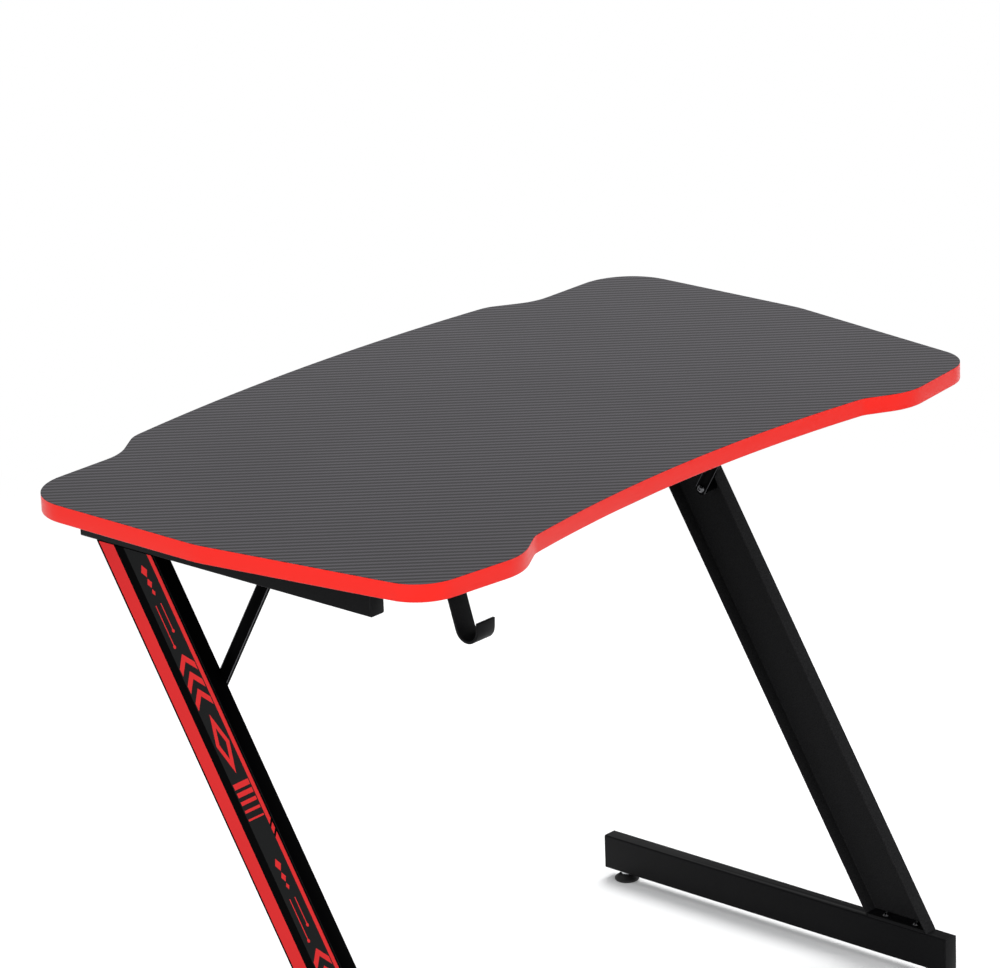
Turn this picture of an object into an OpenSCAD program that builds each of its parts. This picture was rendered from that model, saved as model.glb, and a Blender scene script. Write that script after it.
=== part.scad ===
// Gaming desk with a Z-shaped steel frame and a sculpted, edge-banded top.
// +X runs along the desk, +Y to the back, +Z up.
// The origin lies on the floor, below the middle of the top.

/* [Desktop] */
// Overall length of the top, side to side
desk_length = 1000; // [900:10:1400]
// Overall depth of the top, foremost to rearmost point
desk_depth = 610; // [580:2:760]
// Height of the top's upper face above the floor
desk_height = 750; // [680:5:800]
// Thickness of the finished board
board_thickness = 20; // [16:1:30]
// Thickness of the patterned sheet on the upper face
laminate_thickness = 0.4; // [0.3:0.1:1.5]
// Thickness of the backing sheet on the lower face
backing_thickness = 0.6; // [0.4:0.1:1.2]
// Thickness of the plastic edge band
band_thickness = 2; // [1.5:0.5:4]
// Radius worked on the lower outer edge of the edge band
band_edge_radius = 1.4; // [0.6:0.1:1.4]

/* [Front edge] */
// How far the middle of the front edge lies behind the corner points of the lobes
front_recess = 50.5; // [34:0.5:60]
// Rise of the long front arc between its middle and its ends
front_arc_rise = 22; // [8:1:30]
// Distance from the side of the top to the end of the front arc
front_step_inset = 225; // [210:1:260]
// Distance from the side of the top to the corner point of the lobe
front_lobe_inset = 176; // [150:1:190]
// Distance from the side of the top to the front corner
front_corner_inset = 43; // [25:1:70]
// Setback of the front corner from the corner point of the lobe
front_corner_setback = 16.5; // [6:0.5:30]
// Radius at the end of the front arc
front_step_radius = 30; // [10:1:60]
// Radius of the lobe
front_lobe_radius = 70; // [30:1:90]
// Radius of the front corner
front_corner_radius = 51; // [20:1:80]

/* [Sides and back edge] */
// Distance from the foremost point back to the widest place of the sides
side_bend_setback = 291.5; // [240:0.5:340]
// Radius of the shallow bend at the widest place of the sides
side_bend_radius = 112; // [60:1:300]
// Distance from the side of the top to the back corner
back_corner_inset = 3; // [0:1:30]
// Setback of the back corner from the rearmost point
back_corner_setback = 50; // [36:1:60]
// Radius of the back corner
back_corner_radius = 66; // [20:1:90]
// Distance from the side of the top to the outer end of the back step
back_step_outer_inset = 159; // [140:1:180]
// Distance from the side of the top to the inner end of the back step
back_step_inner_inset = 209; // [195:1:240]
// Rise of the long back arc between its middle and its ends
back_arc_rise = 18; // [6:1:24]
// Radius at the outer end of the back step
back_step_outer_radius = 69; // [20:1:90]
// Radius at the inner end of the back step
back_step_inner_radius = 46; // [20:1:90]

/* [Frame tubes] */
// Width of the rail and crossbar tube
tube_width = 20; // [20:1:30]
// Height of the rail and crossbar tube
tube_height = 43; // [36:1:50]
// Wall of the rail and crossbar tube
tube_wall = 1.5; // [1.2:0.1:2]
// Outer corner radius of the tube
tube_corner = 2; // [2:0.5:3]
// Distance from the side of the top to the outer face of the frame
frame_inset = 72; // [60:1:120]
// Length of the top rails
rail_length = 417.5; // [400:0.5:440]
// Distance from the foremost point of the top to the front end of a rail
rail_setback = 118; // [104:0.5:126]
// Length of the base rails
base_length = 514; // [480:1:560]
// How far a base rail reaches in front of the leg
base_toe = 26; // [22:1:50]
// Distance from the front end of the top rails to the front crossbar
front_crossbar_setback = 66; // [50:1:90]
// Distance from the back end of the top rails to the back crossbar
back_crossbar_setback = 50; // [40:1:60]

/* [Legs] */
// Width of the leg channel across its web
leg_width = 74.5; // [66:0.5:90]
// Sheet thickness of the leg channel
leg_wall = 1.5; // [1.2:0.1:2]
// Outer bend radius of the leg channel
leg_bend = 3; // [2.5:0.5:4]
// Lean of the legs from the vertical
leg_angle = 31.2; // [29:0.1:33]
// Distance from the back end of a top rail to the back of the leg's top
leg_setback = 20.5; // [6:0.5:24]
// Thickness of the printed film on the outside of the legs
film_thickness = 0.3; // [0.2:0.1:0.6]
// Thickness of the welded plates and end plates
plate_thickness = 4; // [3:0.5:5]

/* [Braces] */
// Width of the flat brace bars
brace_width = 15.5; // [12:0.5:18]
// Thickness of the flat brace bars
brace_thickness = 4; // [3:0.5:6]
// Distance from the front end of a top rail to the upper brace bolt
brace_setback = 153; // [140:1:170]
// Depth of the lower brace bolt below the top rail
brace_drop = 148; // [120:1:180]
// Distance from the leg's front edge to the lower brace bolt, level
brace_inset = 28.5; // [18:0.5:36]
// Diameter of the welded bosses that the braces are bolted to
boss_d = 14; // [12:1:16]

/* [Feet] */
// Diameter of the foot pads
foot_pad_d = 30; // [24:1:36]
// Height of the foot pads
foot_pad_height = 8; // [6:1:12]
// Height of the feet's wrench hexagon
foot_hex_height = 3.5; // [3:0.5:5]
// Length of the foot stem inside the base rail
foot_stem_length = 28; // [24:1:30]
// Distance from the ends of a base rail to the feet
foot_inset = 24; // [20:1:40]

/* [Headphone hook] */
// Width of the hook strap
hook_width = 26; // [18:1:34]
// Thickness of the hook strap
hook_thickness = 3; // [2:0.5:4]
// Length of the hook's mounting tab
hook_tab = 38; // [34:1:50]
// Length of the hook's straight shank
hook_shank = 47; // [34:1:60]
// Centre-line radius of the hook's cradle
hook_radius = 14; // [10:1:14]
// Length of the hook's raised tip
hook_tip = 10; // [6:1:20]
// Forward lean of the shank from the vertical
hook_lean = 17; // [0:1:17]
// Distance from the left side of the top to the middle of the hook
hook_inset = 122; // [110:1:150]
// Distance from the foremost point of the top to the hook's shank
hook_setback = 46.5; // [40:0.5:56]

/* [Fasteners] */
// Bolt diameter
bolt_d = 6; // [5:1:6]
// Bolt head diameter
bolt_head_d = 10.5; // [10:0.5:12]
// Bolt head height
bolt_head_h = 3.3; // [2.5:0.1:4]
// Nut width across flats
nut_flats = 10; // [9.5:0.5:11]
// Nut height
nut_h = 5; // [4:0.5:6]
// Diameter of the threaded inserts in the board
insert_d = 9; // [8.5:0.5:11]
// Length of the threaded inserts in the board
insert_length = 12; // [9:1:13]
// Distance from the front end of a rail to its front top bolt
rail_bolt_front = 24; // [20:1:34]
// Distance from the back end of a rail to its back top bolt
rail_bolt_back = 150; // [130:1:170]
// Distance from the middle of a crossbar to each of its top bolts
crossbar_bolt_offset = 220; // [120:10:300]
// Half the spacing of the bolt pairs at leg plates and crossbar ends
pair_offset = 22; // [20:1:24]
// Foot thread diameter
foot_d = 8; // [6:1:8]
// Hook screw diameter
hook_screw_d = 4; // [3.5:0.5:5]
// Hook screw length inside the board
hook_screw_length = 12; // [8:1:14]

/* [Hidden] */

left = -1;
right = 1;
front = -1;
back = 1;
seat_gap = 0.3;         // play between pieces that move past each other
fit_gap = 0.2;          // play round a piece that slips into another
thread_gap = 0.05;      // radial play in a threaded hole
hole_gap = 0.3;         // radial play in a clearance hole
bore_spare = 2;         // how far a blind bore goes on past its bolt
bolt_end = 1.5;         // how far a bolt stands out of its nut
access_gap = 1;         // play of a bolt head in the hole that lets it in
cut = 1;                // how far a cutting body reaches past a face
arc_step = 5;           // degrees between the points of an arc
front_arc_steps = 14;   // points along half of the front arc
back_arc_steps = 10;    // points along half of the back arc
round_fn = 64;
small_fn = 40;

steel_black = "#1b1b1d";
plastic_black = "#141416";
zinc = "#b9bcc0";
bolt_black = "#26272a";
band_red = "#f0241c";

// Heights
board_bottom = desk_height - board_thickness;
rail_bottom = board_bottom - tube_height;
base_bottom = foot_pad_height + foot_hex_height + seat_gap;
base_top = base_bottom + tube_height;
rail_middle = rail_bottom + tube_height / 2;

// Outline of the top
half_length = desk_length / 2;
front_y = -desk_depth / 2;
back_y = desk_depth / 2;

// Side frames, given for the right side and mirrored for the left
side_x = half_length - frame_inset;
tube_x = side_x - tube_width / 2;
inner_x = side_x - tube_width;
rail_front_y = front_y + rail_setback;
rail_back_y = rail_front_y + rail_length;
leg_span = leg_width / cos(leg_angle);
leg_slope = tan(leg_angle);
leg_head_y = rail_back_y - leg_setback - leg_span / 2;
leg_foot_y = leg_head_y - (rail_bottom - base_top) * leg_slope;
leg_flange = tube_width;
base_front_y = leg_foot_y - leg_span / 2 - base_toe;
base_back_y = base_front_y + base_length;

// Braces
brace_top = [rail_front_y + brace_setback, rail_middle];
brace_low_z = rail_bottom - brace_drop;
brace_low = [leg_head_y - leg_span / 2 - brace_drop * leg_slope + brace_inset, brace_low_z];
brace_run = norm(brace_top - brace_low);
brace_tilt = atan2(brace_low[0] - brace_top[0], brace_top[1] - brace_low[1]);
boss_length = tube_width - leg_wall;
brace_bolt_length = 16;
boss_bore_depth = brace_bolt_length - brace_thickness + bore_spare;

// Crossbars and bolts
crossbar_ys = [rail_front_y + front_crossbar_setback, rail_back_y - back_crossbar_setback];
end_plate_margin = 10;  // from a bolt to the end of its plate
end_plate_width = 2 * (pair_offset + end_plate_margin);
frame_bolt_length = plate_thickness + tube_wall + nut_h + bolt_end;
top_bolt_length = tube_wall + insert_length;
top_bolt_ys = [rail_front_y + rail_bolt_front, rail_back_y - rail_bolt_back];
access_r = bolt_head_d / 2 + access_gap;

// Feet
foot_ys = [base_front_y + foot_inset, base_back_y - foot_inset];
foot_nut_h = 6.5;
foot_nut_flats = foot_d + 5;
foot_socket = 5;        // how deep the stem sits in its pad

// Hook
hook_x = -half_length + hook_inset;
hook_bend = hook_thickness + 1;
hook_curl = 160;        // degrees that the cradle turns through
hook_screw_ys = [12, 28];
hook_top_y = front_y + hook_setback;

// ---------- outline of the top ----------

function unit(v) = v / norm(v);
function left_of(v) = [-v[1], v[0]];
function turned(v, a) = [v[0] * cos(a) - v[1] * sin(a), v[0] * sin(a) + v[1] * cos(a)];
function turn_angle(u, v) = atan2(u[0] * v[1] - u[1] * v[0], u * v);

// Points that round one corner of a path, or the corner itself if its radius is 0
function corner_points(before, corner, after, radius) =
    let (
        u = unit(corner - before),
        v = unit(after - corner),
        turn = turn_angle(u, v),
        room = 0.48 * min(norm(corner - before), norm(after - corner)),
        r = min(radius, room / tan(abs(turn) / 2)),
        start = corner - u * r * tan(abs(turn) / 2),
        side = sign(turn),
        centre = start + left_of(u) * r * side,
        steps = max(2, ceil(abs(turn) / arc_step))
    )
    radius == 0 ? [corner]
    : [for (i = [0:steps]) centre + turned(start - centre, turn * i / steps)];

// What the rounding takes off the lobe's corner point, so that the lobe itself
// reaches the overall depth
front_cut = min([
    for (p = corner_points(
        [front_lobe_inset - front_step_inset, front_recess - front_arc_rise],
        [0, 0],
        [front_lobe_inset - front_corner_inset, front_corner_setback],
        front_lobe_radius
    )) p[1]
]);
front_line = front_y - front_cut;
bend_y = front_y + side_bend_setback;

// The same for the bend in the side and the overall length
side_cut = -max([
    for (p = corner_points(
        [-front_corner_inset, front_line + front_corner_setback - bend_y],
        [0, 0],
        [-back_corner_inset, back_y - back_corner_setback - bend_y],
        side_bend_radius
    )) p[0]
]);
side_line = half_length + side_cut;

// Control points of the right half, front middle to back middle: [x, y, radius]
function right_controls() = [
    for (i = [0:front_arc_steps - 1])
        let (t = i / front_arc_steps)
        [(side_line - front_step_inset) * t, front_line + front_recess - front_arc_rise * t * t, 0],
    [side_line - front_step_inset, front_line + front_recess - front_arc_rise, front_step_radius],
    [side_line - front_lobe_inset, front_line, front_lobe_radius],
    [side_line - front_corner_inset, front_line + front_corner_setback, front_corner_radius],
    [side_line, bend_y, side_bend_radius],
    [side_line - back_corner_inset, back_y - back_corner_setback, back_corner_radius],
    [side_line - back_step_outer_inset, back_y - back_corner_setback, back_step_outer_radius],
    [side_line - back_step_inner_inset, back_y - back_arc_rise, back_step_inner_radius],
    for (i = [1:back_arc_steps])
        let (t = 1 - i / back_arc_steps)
        [(side_line - back_step_inner_inset) * t, back_y - back_arc_rise * t * t, 0]
];

function flat_point(c) = [c[0], c[1]];

function right_half() =
    let (c = right_controls(), last = len(c) - 1)
    [
        flat_point(c[0]),
        for (i = [1:last - 1])
            each corner_points(flat_point(c[i - 1]), flat_point(c[i]), flat_point(c[i + 1]), c[i][2]),
        flat_point(c[last])
    ];

// Whole outline, counter-clockwise seen from above
function outline() =
    let (half = right_half(), n = len(half))
    concat(half, [for (i = [n - 2:-1:1]) [-half[i][0], half[i][1]]]);

// The outline moved inwards by a distance, point by point
function inset(path, distance) =
    let (n = len(path))
    [for (i = [0:n - 1])
        let (
            a = left_of(unit(path[i] - path[(i + n - 1) % n])),
            b = left_of(unit(path[(i + 1) % n] - path[i]))
        )
        path[i] + distance * (a + b) / (1 + a * b)];

// Level sheet of the top, its edge moved inwards from the outline
module board_layer(z, thickness, edge) {
    translate([0, 0, z])
        linear_extrude(height = thickness)
            polygon(inset(outline(), edge));
}

// ---------- general shapes ----------

// Rectangle with round corners, its lower left corner at the origin
module round_rect(w, h, r) {
    translate([r, 0])
        square([w - 2 * r, h]);
    translate([0, r])
        square([w, h - 2 * r]);
    for (x = [r, w - r], y = [r, h - r])
        translate([x, y])
            circle(r = r, $fn = small_fn);
}

// Section of the rail and crossbar tube, centred
module tube_section() {
    difference() {
        translate([-tube_width / 2, -tube_height / 2])
            round_rect(tube_width, tube_height, tube_corner);
        translate([-tube_width / 2 + tube_wall, -tube_height / 2 + tube_wall])
            square([tube_width - 2 * tube_wall, tube_height - 2 * tube_wall]);
    }
}

// Tube lying along Y from the origin
module tube_along_y(length) {
    rotate([90, 0, 0])
        translate([0, 0, -length])
            linear_extrude(height = length)
                tube_section();
}

// Button-head bolt: head below z = 0, shank up to its length
module bolt(length, d = bolt_d, head_d = bolt_head_d, head_h = bolt_head_h) {
    crown = (head_d * head_d / 4 + head_h * head_h) / (2 * head_h);
    difference() {
        union() {
            cylinder(d = d, h = length, $fn = small_fn);
            intersection() {
                translate([0, 0, -head_h])
                    cylinder(d = head_d, h = head_h, $fn = small_fn);
                translate([0, 0, crown - head_h])
                    sphere(r = crown, $fn = round_fn);
            }
        }
        translate([0, 0, -head_h - cut])
            cylinder(d = d * 0.72, h = head_h * 0.6 + cut, $fn = 6);
    }
}

// Weld nut standing on z = 0
module nut(flats = nut_flats, bore = bolt_d, height = nut_h) {
    difference() {
        cylinder(d = flats / cos(30), h = height, $fn = 6);
        translate([0, 0, -cut])
            cylinder(r = bore / 2 + thread_gap, h = height + 2 * cut, $fn = small_fn);
    }
}

// Straight hole or shank along Z
module hole(r, from, to) {
    translate([0, 0, from])
        cylinder(r = r, h = to - from, $fn = small_fn);
}

// Places its children on the right side, or mirrored on the left
module on_side(side) {
    mirror([side == left ? 1 : 0, 0, 0])
        children();
}

// Extrudes a shape drawn in the Y-Z plane along +X
module facing_x(thickness) {
    rotate([90, 0, 90])
        linear_extrude(height = thickness)
            children();
}

// Turns a shape that stands along +Z to point along +X, at a place
module pointing_x(x, y, z) {
    translate([x, y, z])
        rotate([0, 90, 0])
            children();
}

// ---------- board ----------

module at_top_bolts() {
    for (side = [left, right], y = top_bolt_ys)
        translate([side * tube_x, y, board_bottom])
            children();
    for (side = [left, right], y = crossbar_ys)
        translate([side * crossbar_bolt_offset, y, board_bottom])
            children();
}

module at_hook_screws() {
    for (y = hook_screw_ys)
        translate([hook_x, hook_top_y + y, board_bottom])
            children();
}

module board_holes() {
    at_top_bolts()
        hole(insert_d / 2, -cut, insert_length);
    at_hook_screws()
        hole(hook_screw_d / 2 + thread_gap, -cut, hook_screw_length + cut);
}

module top_core() {
    color("#8a6a45")
        difference() {
            board_layer(
                board_bottom + backing_thickness,
                board_thickness - backing_thickness - laminate_thickness,
                band_thickness
            );
            board_holes();
        }
}

// The sheet is trimmed flush with the outside of the edge band and covers it
module top_laminate() {
    color("#2b2b2e")
        board_layer(desk_height - laminate_thickness, laminate_thickness, 0);
}

module top_backing() {
    color("#202022")
        difference() {
            board_layer(board_bottom, backing_thickness, band_thickness);
            board_holes();
        }
}

// Section of the edge band as [inset, height] pairs, inner bottom to inner top
function band_profile() =
    let (r = min(band_edge_radius, band_thickness - 0.1), t = board_thickness - laminate_thickness)
    concat(
        [[band_thickness, 0]],
        [for (a = [0:30:90]) [r - r * sin(a), r - r * cos(a)]],
        [[0, t], [band_thickness, t]]
    );

module edge_band() {
    path = outline();
    profile = band_profile();
    n = len(path);
    m = len(profile);
    rings = [for (p = profile) inset(path, p[0])];
    points = [
        for (i = [0:n - 1], j = [0:m - 1])
            [rings[j][i][0], rings[j][i][1], board_bottom + profile[j][1]]
    ];
    faces = [
        for (i = [0:n - 1], j = [0:m - 1])
            let (k = (i + 1) % n, l = (j + 1) % m)
            [i * m + j, i * m + l, k * m + l, k * m + j]
    ];
    color(band_red)
        polyhedron(points = points, faces = faces, convexity = 10);
}

module board_inserts() {
    color(zinc)
        at_top_bolts()
            difference() {
                hole(insert_d / 2, 0, insert_length);
                hole(bolt_d / 2 + thread_gap, -cut, insert_length + cut);
            }
}

// ---------- rails and crossbars ----------

module at_leg_bolts(y, z) {
    for (offset = [-pair_offset, pair_offset])
        translate([tube_x, y + offset, z])
            children();
}

module at_crossbar_bolts() {
    for (y = crossbar_ys, offset = [-pair_offset, pair_offset])
        pointing_x(inner_x, y + offset, rail_middle)
            children();
}

module top_rail(side) {
    bolt_r = bolt_d / 2 + hole_gap;
    color(steel_black)
        on_side(side)
            difference() {
                translate([tube_x, rail_front_y, rail_middle])
                    tube_along_y(rail_length);
                for (y = top_bolt_ys)
                    translate([tube_x, y, 0]) {
                        hole(bolt_r, rail_middle, board_bottom + cut);
                        hole(access_r, rail_bottom - cut, rail_middle);
                    }
                at_leg_bolts(leg_head_y, rail_bottom)
                    hole(bolt_r, -cut, tube_wall + cut);
                at_crossbar_bolts()
                    hole(bolt_r, -cut, tube_wall + cut);
                pointing_x(inner_x, brace_top[0], brace_top[1])
                    hole(bolt_r, -cut, tube_wall + cut);
            }
}

module base_rail(side) {
    color(steel_black)
        on_side(side)
            difference() {
                translate([tube_x, base_front_y, base_bottom + tube_height / 2])
                    tube_along_y(base_length);
                at_leg_bolts(leg_foot_y, base_top)
                    hole(bolt_d / 2 + hole_gap, -tube_wall - cut, cut);
                for (y = foot_ys)
                    translate([tube_x, y, base_bottom])
                        hole(foot_d / 2 + hole_gap, -cut, tube_wall + cut);
            }
}

// Moulded plug that closes a tube, for the tube's front or back end
module rail_cap(side, end, y, z) {
    face = 2;
    depth = 12;
    wall = 2;
    w = tube_width - 2 * (tube_wall + fit_gap);
    h = tube_height - 2 * (tube_wall + fit_gap);
    color(plastic_black)
        on_side(side)
            translate([tube_x, y, z])
                mirror([0, end == front ? 0 : 1, 0])
                    rotate([90, 0, 0]) {
                        linear_extrude(height = face)
                            translate([-tube_width / 2, -tube_height / 2])
                                round_rect(tube_width, tube_height, tube_corner);
                        difference() {
                            translate([-w / 2, -h / 2, -depth])
                                cube([w, h, depth]);
                            translate([-w / 2 + wall, -h / 2 + wall, -depth - cut])
                                cube([w - 2 * wall, h - 2 * wall, depth - wall + cut]);
                        }
                    }
}

module crossbar(y) {
    half = inner_x - plate_thickness;
    color(steel_black)
        difference() {
            translate([half, y, rail_middle])
                rotate([0, 0, 90])
                    tube_along_y(2 * half);
            for (side = [left, right])
                translate([side * crossbar_bolt_offset, y, 0]) {
                    hole(bolt_d / 2 + hole_gap, rail_middle, board_bottom + cut);
                    hole(access_r, rail_bottom - cut, rail_middle);
                }
        }
}

// Plates welded to both ends of the crossbars
module crossbar_end_plates() {
    height = tube_height - 2;
    corner = 5;
    color(steel_black)
        for (side = [left, right])
            on_side(side)
                difference() {
                    for (y = crossbar_ys)
                        translate([inner_x - plate_thickness, y, rail_middle])
                            facing_x(plate_thickness)
                                translate([-end_plate_width / 2, -height / 2])
                                    round_rect(end_plate_width, height, corner);
                    at_crossbar_bolts()
                        hole(bolt_d / 2 + hole_gap, -plate_thickness - cut, cut);
                }
}

// ---------- legs ----------

// Stands its children, drawn round the leg's axis, in the leg's place
module along_leg() {
    length = 1.2 * (rail_bottom - base_top) / cos(leg_angle);
    translate([side_x, (leg_head_y + leg_foot_y) / 2, (rail_bottom + base_top) / 2])
        rotate([-leg_angle, 0, 0])
            linear_extrude(height = length, center = true)
                children();
}

// Level slice of the space round the legs
module level_slice(from, to) {
    reach = desk_length + desk_depth;
    translate([-reach / 2, -reach / 2, from])
        cube([reach, reach, to - from]);
}

// Section of the leg channel: web at x = 0, flanges towards -X
module channel_section() {
    deep = leg_flange + 4 * leg_bend;
    difference() {
        translate([-deep, -leg_width / 2])
            round_rect(deep, leg_width, leg_bend);
        translate([-deep - leg_bend, -leg_width / 2 + leg_wall])
            round_rect(deep + leg_bend - leg_wall, leg_width - 2 * leg_wall, leg_bend - leg_wall);
        translate([-deep - cut, -leg_width])
            square([deep + cut - leg_flange, 2 * leg_width]);
    }
}

// Section of the plates that close the channel's ends
module channel_filling() {
    w = leg_width - 2 * (leg_wall + fit_gap);
    translate([-leg_flange, -w / 2])
        round_rect(leg_flange - leg_wall - fit_gap, w, leg_bend - leg_wall);
}

module leg(side) {
    color(steel_black)
        on_side(side)
            intersection() {
                along_leg()
                    channel_section();
                level_slice(base_top, rail_bottom);
            }
}

module leg_film(side) {
    w = leg_width - 2 * leg_bend;
    color("#c8281f")
        on_side(side)
            intersection() {
                along_leg()
                    translate([0, -w / 2])
                        square([film_thickness, w]);
                level_slice(base_top, rail_bottom);
            }
}

// Level plate inside one end of the leg
module leg_plate(side, y, from, to) {
    color(steel_black)
        on_side(side)
            difference() {
                intersection() {
                    along_leg()
                        channel_filling();
                    level_slice(from, to);
                }
                at_leg_bolts(y, from)
                    hole(bolt_d / 2 + hole_gap, -cut, to - from + cut);
            }
}

// ---------- braces ----------

// Flat bar with round ends and a hole at each end
module brace(side) {
    color(steel_black)
        on_side(side)
            translate([inner_x - brace_thickness, brace_top[0], brace_top[1]])
                rotate([90 + brace_tilt, 0, 0])
                    rotate([0, 90, 0])
                        difference() {
                            union() {
                                for (x = [0, brace_run])
                                    translate([0, -x, 0])
                                        cylinder(d = brace_width, h = brace_thickness, $fn = round_fn);
                                translate([-brace_width / 2, -brace_run, 0])
                                    cube([brace_width, brace_run, brace_thickness]);
                            }
                            for (x = [0, brace_run])
                                translate([0, -x, 0])
                                    hole(bolt_d / 2 + hole_gap, -cut, brace_thickness + cut);
                        }
}

module brace_boss(side) {
    color(steel_black)
        on_side(side)
            pointing_x(inner_x, brace_low[0], brace_low[1])
                difference() {
                    cylinder(d = boss_d, h = boss_length, $fn = round_fn);
                    hole(bolt_d / 2 + thread_gap, -cut, boss_bore_depth);
                }
}

// ---------- fasteners ----------

module frame_nuts() {
    color(zinc)
        for (side = [left, right])
            on_side(side) {
                at_leg_bolts(leg_head_y, rail_bottom + tube_wall)
                    nut();
                at_leg_bolts(leg_foot_y, base_top - tube_wall - nut_h)
                    nut();
                at_crossbar_bolts()
                    translate([0, 0, tube_wall])
                        nut();
                pointing_x(inner_x, brace_top[0], brace_top[1])
                    translate([0, 0, tube_wall])
                        nut();
            }
}

module leg_bolts() {
    color(bolt_black)
        for (side = [left, right])
            on_side(side) {
                at_leg_bolts(leg_head_y, rail_bottom - plate_thickness)
                    bolt(frame_bolt_length);
                at_leg_bolts(leg_foot_y, base_top + plate_thickness)
                    mirror([0, 0, 1])
                        bolt(frame_bolt_length);
            }
}

module crossbar_bolts() {
    color(bolt_black)
        for (side = [left, right])
            on_side(side)
                at_crossbar_bolts()
                    translate([0, 0, -plate_thickness])
                        bolt(frame_bolt_length);
}

module brace_bolts() {
    color(bolt_black)
        for (side = [left, right], place = [brace_top, brace_low])
            on_side(side)
                pointing_x(inner_x - brace_thickness, place[0], place[1])
                    bolt(brace_bolt_length);
}

module top_bolts() {
    color(zinc)
        at_top_bolts()
            translate([0, 0, -tube_wall])
                bolt(top_bolt_length);
}

module foot_nuts() {
    color(zinc)
        for (side = [left, right], y = foot_ys)
            translate([side * tube_x, y, base_bottom + tube_wall])
                nut(foot_nut_flats, foot_d, foot_nut_h);
}

// ---------- feet ----------

module foot_pad(side, y) {
    rim = 2;
    neck = foot_nut_flats / cos(30) / 2 + 1;
    color(plastic_black)
        translate([side * tube_x, y, 0])
            difference() {
                rotate_extrude($fn = round_fn)
                    polygon([
                        [0, 0],
                        [foot_pad_d / 2 - 1, 0],
                        [foot_pad_d / 2, 1],
                        [foot_pad_d / 2, rim + 1],
                        [neck, foot_pad_height],
                        [0, foot_pad_height]
                    ]);
                hole(foot_d / 2 + thread_gap, foot_pad_height - foot_socket, foot_pad_height + cut);
            }
}

module foot_stem(side, y) {
    color(zinc)
        translate([side * tube_x, y, foot_pad_height]) {
            cylinder(d = foot_nut_flats / cos(30), h = foot_hex_height, $fn = 6);
            hole(foot_d / 2, -foot_socket, foot_hex_height + seat_gap + foot_stem_length);
        }
}

// ---------- headphone hook ----------

// Follows a bent strip: each step is [straight length, turn, bend radius].
// Gives [position, heading] pairs along its centre line.
function strip_states(steps, position, heading, i = 0) =
    i == len(steps) ? []
    : let (
        s = steps[i],
        ahead = position + s[0] * [cos(heading), sin(heading)],
        side = sign(s[1]),
        centre = ahead + side * s[2] * [-sin(heading), cos(heading)],
        count = max(1, ceil(abs(s[1]) / arc_step)),
        arc = s[1] == 0 ? []
            : [for (k = [1:count])
                let (a = heading + s[1] * k / count)
                [centre - side * s[2] * [-sin(a), cos(a)], a]],
        end = len(arc) == 0 ? [ahead, heading] : arc[len(arc) - 1]
    )
    concat([[ahead, heading]], arc, strip_states(steps, end[0], end[1], i + 1));

function strip_edge(states, offset) = [for (s = states) s[0] + offset * [-sin(s[1]), cos(s[1])]];

function reversed(list) = [for (i = [len(list) - 1:-1:0]) list[i]];

// Side view of the hook: y runs back, z up, the shank's top at y = 0
module hook_profile() {
    t = hook_thickness / 2;
    start = [hook_tab, -t];
    tab_straight = hook_tab - hook_bend;
    states = concat(
        [[start, 180]],
        strip_states(
            [[tab_straight, 90 - hook_lean, hook_bend], [hook_shank, -hook_curl, hook_radius], [hook_tip, 0, 0]],
            start,
            180
        )
    );
    polygon(concat(strip_edge(states, t), reversed(strip_edge(states, -t))));
}

module headphone_hook() {
    color(steel_black)
        difference() {
            translate([hook_x - hook_width / 2, hook_top_y, board_bottom])
                facing_x(hook_width)
                    hook_profile();
            at_hook_screws()
                hole(hook_screw_d / 2 + hole_gap, -hook_thickness - cut, cut);
        }
}

module hook_screws() {
    color(zinc)
        at_hook_screws()
            translate([0, 0, -hook_thickness])
                bolt(hook_screw_length + hook_thickness, hook_screw_d, 1.9 * hook_screw_d, 2.4);
}

// ---------- nodes ----------

top_core();
top_laminate();
top_backing();
edge_band();
board_inserts();
top_rail(left);  // left_top_rail
top_rail(right);  // right_top_rail
base_rail(left);  // left_base_rail
base_rail(right);  // right_base_rail
leg(left);  // left_leg
leg(right);  // right_leg
leg_film(left);  // left_leg_film
leg_film(right);  // right_leg_film
leg_plate(left, leg_head_y, rail_bottom - plate_thickness, rail_bottom);  // left_leg_head_plate
leg_plate(right, leg_head_y, rail_bottom - plate_thickness, rail_bottom);  // right_leg_head_plate
leg_plate(left, leg_foot_y, base_top, base_top + plate_thickness);  // left_leg_foot_plate
leg_plate(right, leg_foot_y, base_top, base_top + plate_thickness);  // right_leg_foot_plate
brace(left);  // left_brace
brace(right);  // right_brace
brace_boss(left);  // left_brace_boss
brace_boss(right);  // right_brace_boss
crossbar(crossbar_ys[0]);  // front_crossbar
crossbar(crossbar_ys[1]);  // back_crossbar
crossbar_end_plates();
rail_cap(left, front, rail_front_y, rail_middle);  // left_top_rail_front_cap
rail_cap(left, back, rail_back_y, rail_middle);  // left_top_rail_back_cap
rail_cap(right, front, rail_front_y, rail_middle);  // right_top_rail_front_cap
rail_cap(right, back, rail_back_y, rail_middle);  // right_top_rail_back_cap
rail_cap(left, front, base_front_y, base_bottom + tube_height / 2);  // left_base_rail_front_cap
rail_cap(left, back, base_back_y, base_bottom + tube_height / 2);  // left_base_rail_back_cap
rail_cap(right, front, base_front_y, base_bottom + tube_height / 2);  // right_base_rail_front_cap
rail_cap(right, back, base_back_y, base_bottom + tube_height / 2);  // right_base_rail_back_cap
frame_nuts();
leg_bolts();
crossbar_bolts();
brace_bolts();
top_bolts();
foot_nuts();
headphone_hook();
hook_screws();
foot_pad(left, foot_ys[0]);  // front_left_foot_pad
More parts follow.
